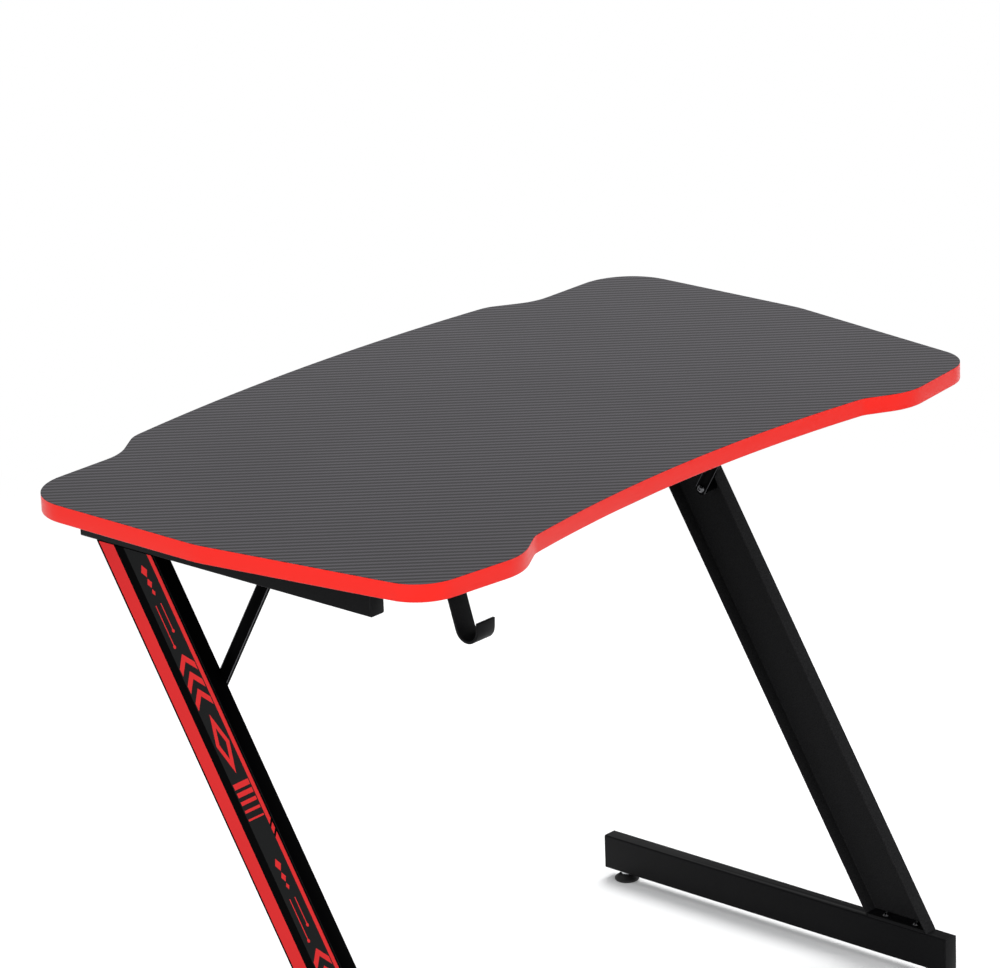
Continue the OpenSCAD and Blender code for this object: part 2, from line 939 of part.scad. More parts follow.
foot_stem(left, foot_ys[0]);  // front_left_foot_stem
foot_pad(right, foot_ys[0]);  // front_right_foot_pad
foot_stem(right, foot_ys[0]);  // front_right_foot_stem
foot_pad(left, foot_ys[1]);  // back_left_foot_pad
foot_stem(left, foot_ys[1]);  // back_left_foot_stem
foot_pad(right, foot_ys[1]);  // back_right_foot_pad
foot_stem(right, foot_ys[1]);  // back_right_foot_stem
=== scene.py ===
# %% [markdown]
# # A gaming desk with a sculpted, carbon-look top
#
# The desk is already built as exact solids: board, sheets, edge band, tubes, legs, bolts and feet.
# This lesson dresses them. Each step says what a piece or a finish is on the real desk, how it
# could be made, and why one way was picked. Lengths are in metres, +X runs along the desk,
# +Y to its back and +Z up, with the floor at Z = 0.

# %% Load the solids
import math

import bpy
from mathutils import Matrix, Vector


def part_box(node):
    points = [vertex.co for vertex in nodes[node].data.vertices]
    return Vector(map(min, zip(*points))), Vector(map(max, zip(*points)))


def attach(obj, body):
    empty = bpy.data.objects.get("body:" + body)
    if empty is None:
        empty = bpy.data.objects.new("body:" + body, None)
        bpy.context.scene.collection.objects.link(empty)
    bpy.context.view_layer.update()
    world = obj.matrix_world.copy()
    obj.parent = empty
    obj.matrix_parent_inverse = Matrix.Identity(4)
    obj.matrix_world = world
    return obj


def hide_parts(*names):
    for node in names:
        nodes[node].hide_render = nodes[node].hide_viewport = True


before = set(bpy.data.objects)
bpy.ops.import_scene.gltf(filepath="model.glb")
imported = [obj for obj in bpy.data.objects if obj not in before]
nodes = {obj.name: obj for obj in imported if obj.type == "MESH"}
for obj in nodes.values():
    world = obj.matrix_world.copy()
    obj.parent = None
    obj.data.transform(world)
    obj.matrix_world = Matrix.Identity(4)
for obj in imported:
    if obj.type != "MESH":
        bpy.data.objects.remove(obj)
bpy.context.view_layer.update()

# %% [markdown]
# ## Plain helpers
#
# Millimetres are what a desk maker thinks in, so a tiny helper turns them into metres. The
# loaded solids stay selected, and an operator acts on all that is selected, so everything is
# deselected before a new piece is started.

# %% Helpers
MM = 0.001


def start_clean():
    """Leaves edit mode and deselects everything."""
    if bpy.context.object and bpy.context.object.mode != "OBJECT":
        bpy.ops.object.mode_set(mode="OBJECT")
    bpy.ops.object.select_all(action="DESELECT")


def centre_of(node):
    """The middle of a solid's box."""
    low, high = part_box(node)
    return (low + high) / 2


def size_of(node):
    """The length, depth and height of a solid's box."""
    low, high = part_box(node)
    return high - low


start_clean()
print("top:", [round(v, 4) for v in size_of("top_laminate")])

# %% [markdown]
# ## The camera
#
# A desk like this is shown from its front left corner, a little above eye level of someone
# sitting, through a long lens that keeps its edges almost parallel. An aim point could turn
# the camera, but it leaves out the roll. So three angles turn it: where it looks round the
# desk, how far it looks down, and how it rolls. The lens is shifted a little, which moves the
# frame without turning the camera.

# %% Camera
CAMERA_PLACE = Vector((-3.8831, -3.4814, 2.4762))
LOOK_ROUND = math.radians(48.182)
LOOK_DOWN = math.radians(19.002)
ROLL = math.radians(-1.987)
SENSOR_WIDTH = 36
FOCAL_LENGTH = 180.99
LENS_SHIFT = (-0.01417, -0.00765)
FARTHEST_VIEW = 100

forward = Vector((
    math.sin(LOOK_ROUND) * math.cos(LOOK_DOWN),
    math.cos(LOOK_ROUND) * math.cos(LOOK_DOWN),
    -math.sin(LOOK_DOWN),
))
level_right = Vector((math.cos(LOOK_ROUND), -math.sin(LOOK_ROUND), 0))
level_up = level_right.cross(forward)
right = math.cos(ROLL) * level_right + math.sin(ROLL) * level_up
up = math.cos(ROLL) * level_up - math.sin(ROLL) * level_right
turned = Matrix((right, up, -forward)).transposed().to_4x4()

camera_data = bpy.data.cameras.new("desk_camera")
camera_data.sensor_width = SENSOR_WIDTH
camera_data.lens = FOCAL_LENGTH
camera_data.shift_x, camera_data.shift_y = LENS_SHIFT
camera_data.clip_end = FARTHEST_VIEW
camera = bpy.data.objects.new("desk_camera", camera_data)
bpy.context.scene.collection.objects.link(camera)
camera.matrix_world = Matrix.Translation(CAMERA_PLACE) @ turned
bpy.context.scene.camera = camera
print("camera stands", round(CAMERA_PLACE.length, 2), "m from the desk")

# %% [markdown]
# ## Writing materials
#
# Every finish is a Principled shader with patterns wired into it. Wiring by hand takes many
# lines, so small helpers do it. Most of them add one node and return its output, so that
# they can be nested like a sum on paper.

# %% Node helpers


def feed(tree, target, value):
    """Puts a number, a colour or a link into a socket."""
    if isinstance(value, bpy.types.NodeSocket):
        tree.links.new(value, target)
    else:
        target.default_value = value


def calc(tree, operation, a, b=None, c=None):
    """One Math node: calc(tree, "ADD", x, 2)."""
    node = tree.nodes.new("ShaderNodeMath")
    node.operation = operation
    for socket, value in zip(node.inputs, (a, b, c)):
        if value is not None:
            feed(tree, socket, value)
    return node.outputs[0]


def stretch(tree, value, low, high, to_low, to_high, smooth=False):
    """Maps low..high to to_low..to_high and stops at both ends."""
    node = tree.nodes.new("ShaderNodeMapRange")
    node.interpolation_type = "SMOOTHSTEP" if smooth else "LINEAR"
    ends = {"From Min": low, "From Max": high, "To Min": to_low, "To Max": to_high}
    for name, number in ends.items():
        feed(tree, node.inputs[name], number)
    feed(tree, node.inputs["Value"], value)
    return node.outputs["Result"]


def mix_colours(tree, mask, a, b):
    """Colour a where the mask is 0 and colour b where it is 1."""
    node = tree.nodes.new("ShaderNodeMix")
    node.data_type = "RGBA"
    feed(tree, node.inputs["Factor"], mask)
    for socket, value in ((node.inputs[6], a), (node.inputs[7], b)):
        feed(tree, socket, value if isinstance(value, bpy.types.NodeSocket) else (*value, 1))
    return node.outputs[2]


def mix_shaders(tree, mask, a, b):
    """Shader a where the mask is 0 and shader b where it is 1."""
    node = tree.nodes.new("ShaderNodeMixShader")
    for socket, value in zip(node.inputs, (mask, a, b)):
        feed(tree, socket, value)
    return node.outputs[0]


# %% Material helpers


def new_material(name, base, roughness, metallic=0.0, gloss=0.5):
    """A material with a plain Principled shader. Returns it with its tree and shader."""
    material = bpy.data.materials.new(name)
    material.use_nodes = True
    shader = material.node_tree.nodes["Principled BSDF"]
    shader.inputs["Base Color"].default_value = (*base, 1)
    shader.inputs["Roughness"].default_value = roughness
    shader.inputs["Metallic"].default_value = metallic
    shader.inputs["Specular IOR Level"].default_value = gloss
    material.diffuse_color = (*base, 1)
    return material, material.node_tree, shader


def dress(material, slot, *names):
    """Gives solids their finish."""
    for name in names:
        nodes[name].material_slots[0].material = material
    print(slot, "on", ", ".join(names))


# %% [markdown]
# ## The studio
#
# The desk stands on a plain pale floor in an even, pale room, which is the world's background.
# Light Path gives the room three looks: the camera sees it white, glossy and clear surfaces
# mirror it at half strength, and the light that falls from it on the desk is a softer grey.
# One white room for all three would be simpler, but it would turn black steel grey.

# %% Background and floor
WHITE = (1, 1, 1)
ROOM_LIGHT = (0.55, 0.56, 0.57)
SEEN_IN_GLOSS = 0.5
FLOOR_SIZE = 60


def room_look(tree, colour, strength=1.0):
    """One look of the room."""
    background = tree.nodes.new("ShaderNodeBackground")
    background.inputs["Color"].default_value = (*colour, 1)
    background.inputs["Strength"].default_value = strength
    return background.outputs[0]


bpy.context.scene.view_settings.view_transform = "Standard"
world = bpy.data.worlds.new("pale_room")
bpy.context.scene.world = world
world.use_nodes = True
tree = world.node_tree
tree.nodes.clear()
ray = tree.nodes.new("ShaderNodeLightPath").outputs
mirrored = calc(tree, "MAXIMUM", ray["Is Glossy Ray"], ray["Is Transmission Ray"])
unseen_room = mix_shaders(
    tree, mirrored, room_look(tree, ROOM_LIGHT), room_look(tree, WHITE, SEEN_IN_GLOSS))
room = mix_shaders(tree, ray["Is Camera Ray"], unseen_room, room_look(tree, WHITE))
world_output = tree.nodes.new("ShaderNodeOutputWorld")
tree.links.new(room, world_output.inputs["Surface"])

bpy.ops.mesh.primitive_plane_add(size=FLOOR_SIZE, location=(0, 0, 0))
floor = bpy.context.object
floor.name = "studio_floor"
start_clean()
print("floor", FLOOR_SIZE, "m wide")

# %% [markdown]
# The floor keeps the desk's shadow close to it. Further out it fades to pure white for the
# camera, so that no horizon or corner of the floor shows. A white floor would also throw so
# much light up that the undersides of black steel turned grey, so bounced light meets a
# darker floor, while the camera and what is mirrored or seen through get the white one.

# %% Floor material
FLOOR_WHITE = (0.93, 0.93, 0.93)
FLOOR_BOUNCE = (0.2, 0.2, 0.2)
FLOOR_ROUGHNESS = 0.9
FLOOR_GLOSS = 0.1
SHADOW_REACH = (0.9, 2.2)

floor_material, tree, paint = new_material(
    "studio_floor", FLOOR_WHITE, FLOOR_ROUGHNESS, gloss=FLOOR_GLOSS)
place = tree.nodes.new("ShaderNodeTexCoord").outputs["Object"]
distance = tree.nodes.new("ShaderNodeVectorMath")
distance.operation = "LENGTH"
tree.links.new(place, distance.inputs[0])
fade = stretch(tree, distance.outputs["Value"], *SHADOW_REACH, 0, 1, smooth=True)
ray = tree.nodes.new("ShaderNodeLightPath").outputs
seen = calc(tree, "MAXIMUM", ray["Is Camera Ray"], ray["Is Glossy Ray"])
seen = calc(tree, "MAXIMUM", seen, ray["Is Transmission Ray"])
dim_paint = tree.nodes.new("ShaderNodeBsdfDiffuse")
dim_paint.inputs["Color"].default_value = (*FLOOR_BOUNCE, 1)
painted = mix_shaders(tree, seen, dim_paint.outputs[0], paint.outputs[0])
glow = tree.nodes.new("ShaderNodeEmission")
far_off = calc(tree, "MULTIPLY", fade, ray["Is Camera Ray"])
floor_look = mix_shaders(tree, far_off, painted, glow.outputs[0])
tree.links.new(floor_look, tree.nodes["Material Output"].inputs["Surface"])
floor.data.materials.append(floor_material)
print("shadow fades from", SHADOW_REACH[0], "to", SHADOW_REACH[1], "m")

# %% [markdown]
# Three large soft lamps shape the desk: one high on the left, one in front, and one above
# its right half. Large lamps give the soft shadows of a studio. They are hidden from glossy
# rays, because at low angles the glossy top mirrored them as burnt-out patches.

# %% Lamps
DESK_MIDDLE = Vector((0, 0, 0.5))


def soft_lamp(name, place, size, watts):
    """A square lamp that faces the middle of the desk."""
    data = bpy.data.lights.new(name, "AREA")
    data.size = size
    data.energy = watts
    lamp = bpy.data.objects.new(name, data)
    bpy.context.scene.collection.objects.link(lamp)
    lamp.location = place
    lamp.rotation_mode = "QUATERNION"
    lamp.rotation_quaternion = (DESK_MIDDLE - Vector(place)).to_track_quat("-Z", "Y")
    lamp.visible_glossy = False
    print(name, watts, "W")


soft_lamp("left_lamp", place=(-3.6, -0.9, 1.5), size=2.2, watts=105)
soft_lamp("front_lamp", place=(0.6, -3.6, 1.9), size=2.6, watts=90)
soft_lamp("top_lamp", place=(1.7, 0.9, 2.9), size=1.8, watts=72)

# %% [markdown]
# ## Patterns
#
# A pattern is read in the space of its piece, so that it stays put when the piece moves. It
# can change three things: the colour, the roughness and the tilt of the surface. Noise runs
# from 0 to 1 but seldom leaves the middle of that range, so the middle is what gets spread
# over the values that a finish needs.

# %% Pattern helpers
NOISE_SPAN = (0.3, 0.7)
NARROW_SPAN = (0.35, 0.65)
NOISE_ROUGHNESS = 0.55


def object_place(tree, turn=(0, 0, 0), scale=(1, 1, 1)):
    """Object coordinates, turned and scaled: the pattern space of a piece."""
    coordinates = tree.nodes.new("ShaderNodeTexCoord")
    mapping = tree.nodes.new("ShaderNodeMapping")
    mapping.inputs["Rotation"].default_value = turn
    mapping.inputs["Scale"].default_value = scale
    tree.links.new(coordinates.outputs["Object"], mapping.inputs["Vector"])
    return mapping.outputs["Vector"]


def split(tree, vector):
    """The X, Y and Z of a vector."""
    node = tree.nodes.new("ShaderNodeSeparateXYZ")
    tree.links.new(vector, node.inputs[0])
    return node.outputs


def noise(tree, place, scale, detail=3.0):
    """Soft spots, smaller as the scale grows."""
    node = tree.nodes.new("ShaderNodeTexNoise")
    feed(tree, node.inputs["Vector"], place)
    node.inputs["Scale"].default_value = scale
    node.inputs["Detail"].default_value = detail
    node.inputs["Roughness"].default_value = NOISE_ROUGHNESS
    return node.outputs["Fac"]


def wave(tree, value, pitch):
    """0 to 1 and back over each pitch."""
    turns = calc(tree, "MULTIPLY", value, 2 * math.pi / pitch)
    return calc(tree, "MULTIPLY_ADD", calc(tree, "SINE", turns), 0.5, 0.5)


def vary_roughness(tree, shader, pattern, spread):
    """Lets a pattern move the shader's roughness up and down by spread."""
    middle = shader.inputs["Roughness"].default_value
    varied = stretch(tree, pattern, *NOISE_SPAN, middle - spread, middle + spread)
    tree.links.new(varied, shader.inputs["Roughness"])


def relief(tree, shader, height, strength, depth):
    """Lets a height pattern tilt the surface."""
    bump = tree.nodes.new("ShaderNodeBump")
    bump.inputs["Strength"].default_value = strength
    bump.inputs["Distance"].default_value = depth
    tree.links.new(height, bump.inputs["Height"])
    tree.links.new(bump.outputs["Normal"], shader.inputs["Normal"])


# %% [markdown]
# ## Carbon-look sheet
#
# The top is covered with a glossy printed sheet. Its print imitates carbon cloth: light and
# dark tows that run across the desk on a slant, one pair to each nine millimetres, and fine
# threads that lie across each tow, leaning one way in the light tows and the other way in the
# dark ones. A picture of cloth could do it, but sine waves along and across the tows stay
# sharp at any distance. The gloss lies over the print, so the surface itself stays almost
# flat, and its low refraction keeps the mirroring as faint as on the real sheet.

# %% Carbon-look material
LINE_TURN = math.radians(47.5)
LINE_PITCH = 9.3 * MM
LINE_EDGE = (0.3, 0.7)
THREAD_PITCH = 3.1 * MM
THREAD_SLANT = 0.8
THREAD_SHADE = 0.6
THREAD_GLINT = 0.16
CARBON_DARK = (0.009, 0.0084, 0.0098)
CARBON_LIGHT = (0.07, 0.065, 0.074)
CLOUD_SCALE, CLOUD_SHADE = 6, 0.9
SMEAR_SCALE, SMEAR_DETAIL = 14, 5
SHEET_IOR = 1.22

carbon, tree, shader = new_material("carbon_laminate", CARBON_DARK, roughness=0.11)
along, across, _ = split(tree, object_place(tree, turn=(0, 0, LINE_TURN)))
line = stretch(tree, wave(tree, across, LINE_PITCH), *LINE_EDGE, 0, 1, smooth=True)
lean_one_way = calc(tree, "MULTIPLY_ADD", across, THREAD_SLANT, along)
lean_other_way = calc(tree, "MULTIPLY_ADD", across, -THREAD_SLANT, along)
light_thread = stretch(tree, wave(tree, lean_one_way, THREAD_PITCH), 0, 1, THREAD_SHADE, 1)
light_tow = calc(tree, "MULTIPLY", line, light_thread)
dark_tow = calc(tree, "MULTIPLY", wave(tree, lean_other_way, THREAD_PITCH), THREAD_GLINT)
cloth = calc(tree, "MAXIMUM", light_tow, dark_tow)
clouds = noise(tree, object_place(tree), CLOUD_SCALE)
faded = calc(tree, "MULTIPLY", cloth, stretch(tree, clouds, *NARROW_SPAN, CLOUD_SHADE, 1))
tree.links.new(
    mix_colours(tree, faded, CARBON_DARK, CARBON_LIGHT), shader.inputs["Base Color"])
relief(tree, shader, cloth, strength=0.04, depth=0.05 * MM)
smears = noise(tree, object_place(tree), SMEAR_SCALE, SMEAR_DETAIL)
vary_roughness(tree, shader, smears, spread=0.02)
shader.inputs["IOR"].default_value = SHEET_IOR
dress(carbon, "carbon_laminate", "top_laminate")

# %% [markdown]
# ## Red edge band
#
# A bright red plastic strip is glued round the board. It is extruded, so it has a satin
# gloss and very faint streaks along its length. Noise that is squeezed in height gives them.

# %% Edge band material
BAND_RED = (0.765, 0.016, 0.01)
STREAK_SQUEEZE = (1, 1, 40)
STREAK_SCALE, STREAK_DETAIL = 26, 4

band, tree, shader = new_material("red_edge_band", BAND_RED, roughness=0.36, gloss=0.24)
streaks = noise(tree, object_place(tree, scale=STREAK_SQUEEZE), STREAK_SCALE, STREAK_DETAIL)
vary_roughness(tree, shader, streaks, spread=0.06)
relief(tree, shader, streaks, strength=0.05, depth=0.2 * MM)
dress(band, "red_edge_band", "edge_band")

# %% [markdown]
# ## A grain that several finishes share
#
# Powder coat, moulded plastic, printed film, zinc and board all have a fine grain and a slow
# change of gloss across the piece. One node group holds both, with the grain's size as its
# input, so each finish only sets its own values.

# %% Grain group
FINE_DETAIL = 2
SLOW_SCALE, SLOW_DETAIL = 9, 4


def make_grain_group():
    group = bpy.data.node_groups.new("fine_grain", "ShaderNodeTree")
    for name, kind, way in (
        ("Vector", "NodeSocketVector", "INPUT"),
        ("Grain Scale", "NodeSocketFloat", "INPUT"),
        ("Height", "NodeSocketFloat", "OUTPUT"),
        ("Mottle", "NodeSocketFloat", "OUTPUT"),
    ):
        group.interface.new_socket(name=name, in_out=way, socket_type=kind)
    start = group.nodes.new("NodeGroupInput")
    end = group.nodes.new("NodeGroupOutput")
    fine = group.nodes.new("ShaderNodeTexNoise")
    fine.inputs["Detail"].default_value = FINE_DETAIL
    slow = group.nodes.new("ShaderNodeTexNoise")
    slow.inputs["Scale"].default_value = SLOW_SCALE
    slow.inputs["Detail"].default_value = SLOW_DETAIL
    group.links.new(start.outputs["Vector"], fine.inputs["Vector"])
    group.links.new(start.outputs["Vector"], slow.inputs["Vector"])
    group.links.new(start.outputs["Grain Scale"], fine.inputs["Scale"])
    group.links.new(fine.outputs["Fac"], end.inputs["Height"])
    group.links.new(slow.outputs["Fac"], end.inputs["Mottle"])
    return group


GRAIN = make_grain_group()
print("grain group with", [item.name for item in GRAIN.interface.items_tree])


def grain(tree, scale):
    """Height and mottle of the shared grain."""
    node = tree.nodes.new("ShaderNodeGroup")
    node.node_tree = GRAIN
    node.inputs["Grain Scale"].default_value = scale
    tree.links.new(object_place(tree), node.inputs["Vector"])
    return node.outputs["Height"], node.outputs["Mottle"]


# %% [markdown]
# ## Steel, plastic, zinc and board
#
# The frame is powder-coated steel, nearly black with hardly any shine. Plugs and foot pads
# are moulded plastic, the bolts in view are black zinc, and hidden nuts and the foot stems
# are bright zinc. Under the top lie a black backing sheet and raw particle board. All of them
# are the same grain with another size, depth and gloss. Its specks are darker and lighter
# than the base by the fleck: strong in a coat, faint in plating.

# %% Grained finishes
COAT_FLECK = (0.6, 1.35)
PLATE_FLECK = (0.9, 1.05)


def grained_material(
        name, base, roughness, spread, scale, strength, depth,
        metallic=0.0, gloss=0.5, fleck=COAT_FLECK):
    """A finish whose roughness wanders by spread and whose skin has a fine grain."""
    material, tree, shader = new_material(name, base, roughness, metallic, gloss)
    height, mottle = grain(tree, scale)
    dark, light = (tuple(share * part for part in base) for share in fleck)
    specks = stretch(tree, height, *NARROW_SPAN, 0, 1)
    tree.links.new(mix_colours(tree, specks, dark, light), shader.inputs["Base Color"])
    vary_roughness(tree, shader, mottle, spread)
    relief(tree, shader, height, strength, depth)
    return material, tree, shader


powder_coat, _, _ = grained_material(
    "black_powder_coat", base=(0.004, 0.004, 0.0044), roughness=0.42, spread=0.05,
    scale=900, strength=0.25, depth=0.05 * MM, gloss=0.06)
moulded, _, _ = grained_material(
    "black_moulded_plastic", base=(0.0055, 0.0055, 0.006), roughness=0.48, spread=0.06,
    scale=1400, strength=0.3, depth=0.05 * MM, gloss=0.07)
foot_plastic, _, _ = grained_material(
    "black_foot_plastic", base=(0.0055, 0.0055, 0.006), roughness=0.55, spread=0.06,
    scale=1200, strength=0.3, depth=0.05 * MM)
zinc, _, _ = grained_material(
    "zinc_plate", base=(0.72, 0.73, 0.75), roughness=0.26, spread=0.06,
    scale=1500, strength=0.06, depth=0.02 * MM, metallic=1.0, fleck=PLATE_FLECK)
black_zinc, _, _ = grained_material(
    "black_zinc_plate", base=(0.12, 0.12, 0.126), roughness=0.2, spread=0.05,
    scale=1500, strength=0.06, depth=0.02 * MM, metallic=1.0, fleck=PLATE_FLECK)
cast_zinc, _, _ = grained_material(
    "cast_zinc", base=(0.6, 0.6, 0.58), roughness=0.42, spread=0.08,
    scale=900, strength=0.3, depth=0.04 * MM, metallic=1.0)
backing, _, _ = grained_material(
    "black_backing", base=(0.012, 0.012, 0.013), roughness=0.55, spread=0.06,
    scale=700, strength=0.3, depth=0.08 * MM, gloss=0.15)
board, _, _ = grained_material(
    "particle_board", base=(0.42, 0.29, 0.17), roughness=0.8, spread=0.08,
    scale=500, strength=0.5, depth=0.2 * MM)

# %% Who wears which finish
SIDES = ("left", "right")
ENDS = ("front", "back")
SIDE_STEEL = (
    "top_rail", "base_rail", "leg", "leg_head_plate", "leg_foot_plate", "brace", "brace_boss")
CROSS_STEEL = ("front_crossbar", "back_crossbar", "crossbar_end_plates", "headphone_hook")
STEEL = [f"{side}_{piece}" for side in SIDES for piece in SIDE_STEEL] + list(CROSS_STEEL)
CAPS = [
    f"{side}_{rail}_rail_{end}_cap"
    for side in SIDES for rail in ("top", "base") for end in ENDS]
FEET = [f"{end}_{side}" for end in ENDS for side in SIDES]
BLACK_BOLTS = ["leg_bolts", "crossbar_bolts", "brace_bolts"]
BRIGHT = ["frame_nuts", "top_bolts", "foot_nuts", "hook_screws"]

dress(powder_coat, "black_steel", *STEEL)
dress(moulded, "black_plastic", *CAPS)
dress(foot_plastic, "foot_plastic", *[f"{foot}_foot_pad" for foot in FEET])
dress(zinc, "zinc_steel", *BRIGHT, *[f"{foot}_foot_stem" for foot in FEET])
dress(black_zinc, "black_zinc_steel", *BLACK_BOLTS)
dress(cast_zinc, "zinc_alloy", "board_inserts")
dress(backing, "black_backing", "top_backing")
dress(board, "particle_board", "top_core")

# %% [markdown]
# ## Printed film on the legs
#
# The outside of each leg carries a printed film: a broad red stripe, a black one, a dark grey
# panel with red signs, and a thin red stripe. They all follow the leg's lean, so the print
# needs coordinates that lean with it: how far in from the leg's back edge, and how far down
# along it. The film is cut level at both ends, with the leg.

# %% Leaning coordinates
LEG_LEAN = math.radians(31.2)
LEG_WIDTH = 74.5 * MM
FILM_RED = (0.64, 0.03, 0.031)
PRINT_BLACK_AND_PAINTED_SHADE = (0.0005, 0.0005, 0.0006)
FILM_GREY = (0.0122, 0.0126, 0.0128)

film, film_tree, film_shader = new_material(
    "printed_film", FILM_GREY, roughness=0.34, gloss=0.01)
middle = centre_of("left_leg_film")
film_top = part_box("left_leg_film")[1].z
leg_middle = middle.y * math.cos(LEG_LEAN) - middle.z * math.sin(LEG_LEAN)
head_y = middle.y + (film_top - middle.z) * math.tan(LEG_LEAN)
head_along = head_y * math.sin(LEG_LEAN) + film_top * math.cos(LEG_LEAN)
_, leaning_y, leaning_z = split(film_tree, object_place(film_tree, turn=(LEG_LEAN, 0, 0)))
inward = calc(film_tree, "SUBTRACT", leg_middle + LEG_WIDTH / 2, leaning_y)
down = calc(film_tree, "SUBTRACT", head_along, leaning_z)
print("leg head at y", round(head_y, 4))

# %% [markdown]
# The print could be a picture, but it would need a file and blur close up. Here it is made of
# masks that are 1 inside a shape and 0 outside. A stripe lies between two distances. The
# signs in the panel are plain shapes of their own: small diamonds, two fine lines with round
# ends, bold arrows, a long diamond ring and a ladder of bars that get thinner. The set starts
# again every 340 millimetres.

# %% Masks


def between(tree, value, low, high):
    """1 where the value lies between low and high."""
    above = calc(tree, "GREATER_THAN", value, low)
    below = calc(tree, "LESS_THAN", value, high)
    return calc(tree, "MULTIPLY", above, below)


def either(tree, *masks):
    """1 where any of the masks is."""
    joined = masks[0]
    for mask in masks[1:]:
        joined = calc(tree, "MAXIMUM", joined, mask)
    return joined


def both(tree, a, b):
    """1 where both masks are. It also gives the product of two distances."""
    return calc(tree, "MULTIPLY", a, b)


def off_by(tree, value, middle):
    """How far a value is from a middle, on either side of it."""
    return calc(tree, "ABSOLUTE", calc(tree, "SUBTRACT", value, middle))


# %% Signs in the panel
PANEL = (36.7 * MM, 66.2 * MM)
SIGN_MARGIN = 1.5 * MM
SET_LENGTH = 340 * MM
LINE_WIDTH = 1.3 * MM
DOT_RADIUS = 2.1 * MM

aside = calc(film_tree, "SUBTRACT", inward, (PANEL[0] + PANEL[1]) / 2)
step = calc(film_tree, "FLOORED_MODULO", down, SET_LENGTH)


def diamond(half_width, half_length, at):
    """A diamond in the middle of the panel, so far down the set."""
    aside_part = calc(film_tree, "DIVIDE", off_by(film_tree, aside, 0.0), half_width)
    down_part = calc(film_tree, "DIVIDE", off_by(film_tree, step, at), half_length)
    return calc(film_tree, "LESS_THAN", calc(film_tree, "ADD", aside_part, down_part), 1)


def fine_line(at, start, end):
    """A thin line down the panel with a round end."""
    off = calc(film_tree, "SUBTRACT", aside, at)
    body = both(
        film_tree, between(film_tree, off, -LINE_WIDTH / 2, LINE_WIDTH / 2),
        between(film_tree, step, start, end))
    past = calc(film_tree, "SUBTRACT", step, end)
    reach = calc(film_tree, "ADD", both(film_tree, off, off), both(film_tree, past, past))
    return either(film_tree, body, calc(film_tree, "LESS_THAN", reach, DOT_RADIUS ** 2))


def bars(value, start, end, pitch, thickness):
    """Bars across a value, one to each pitch."""
    turn = calc(film_tree, "FLOORED_MODULO", calc(film_tree, "SUBTRACT", value, start), pitch)
    return both(
        film_tree, between(film_tree, value, start, end),
        calc(film_tree, "LESS_THAN", turn, thickness))


def arrows(start, end, pitch, thickness):
    """Bold V shapes, one below the other: bars that are bent at the panel's middle."""
    bent = calc(film_tree, "SUBTRACT", step, calc(film_tree, "ABSOLUTE", aside))
    return bars(bent, start, end, pitch, thickness)


def ladder(start, end, pitch, thick, thin):
    """Level bars that get thinner on the way down."""
    return bars(step, start, end, pitch, stretch(film_tree, step, start, end, thick, thin))


outer_diamond = diamond(11.5 * MM, 34 * MM, at=232 * MM)
inner_diamond = diamond(6 * MM, 18 * MM, at=232 * MM)
signs = either(
    film_tree,
    diamond(5 * MM, 7 * MM, at=32 * MM),
    diamond(3.8 * MM, 5.4 * MM, at=46 * MM),
    diamond(2.6 * MM, 3.8 * MM, at=56.5 * MM),
    fine_line(at=-6 * MM, start=70 * MM, end=118 * MM),
    fine_line(at=3 * MM, start=70 * MM, end=102 * MM),
    arrows(start=128 * MM, end=188 * MM, pitch=20 * MM, thickness=9 * MM),
    calc(film_tree, "SUBTRACT", outer_diamond, inner_diamond),
    ladder(start=276 * MM, end=326 * MM, pitch=10 * MM, thick=7 * MM, thin=1.2 * MM),
)
sign_room = between(film_tree, inward, PANEL[0] + SIGN_MARGIN, PANEL[1] - SIGN_MARGIN)
panel_signs = both(film_tree, signs, sign_room)
print("a set of signs every", round(SET_LENGTH / MM), "mm")

# %% [markdown]
# Once in each set, beyond the ladder, two slanted gaps break the thin stripe beside the
# panel. Under the print, a faint mottle and a fine grain keep the film from looking like
# flat paint.

# %% Film colours
BROAD_STRIPE = (4.8 * MM, 24 * MM)
THIN_STRIPE = (PANEL[1], PANEL[1] + 6.6 * MM)
GAPS = ((56 * MM, 60 * MM), (67 * MM, 71 * MM))
DEEP_RED = tuple(0.86 * part for part in FILM_RED)
RED_CHANGE = 0.35
FILM_GRAIN = 1100

slanted = calc(film_tree, "FLOORED_MODULO", calc(film_tree, "ADD", down, inward), SET_LENGTH)
gap = either(film_tree, *[between(film_tree, slanted, *ends) for ends in GAPS])
broad_stripe = between(film_tree, inward, *BROAD_STRIPE)
beside_panel = calc(film_tree, "SUBTRACT", 1, between(film_tree, inward, *PANEL))
thin_stripe = both(
    film_tree, between(film_tree, inward, *THIN_STRIPE), calc(film_tree, "SUBTRACT", 1, gap))

height, mottle = grain(film_tree, FILM_GRAIN)
red_mask = stretch(film_tree, mottle, *NOISE_SPAN, 0, RED_CHANGE)
red_now = mix_colours(film_tree, red_mask, FILM_RED, DEEP_RED)
ground = mix_colours(film_tree, beside_panel, FILM_GREY, PRINT_BLACK_AND_PAINTED_SHADE)
printed = either(film_tree, broad_stripe, thin_stripe, panel_signs)
film_tree.links.new(
    mix_colours(film_tree, printed, ground, red_now), film_shader.inputs["Base Color"])
vary_roughness(film_tree, film_shader, mottle, spread=0.04)
relief(film_tree, film_shader, height, strength=0.12, depth=0.03 * MM)
dress(film, "printed_film", "left_leg_film", "right_leg_film")
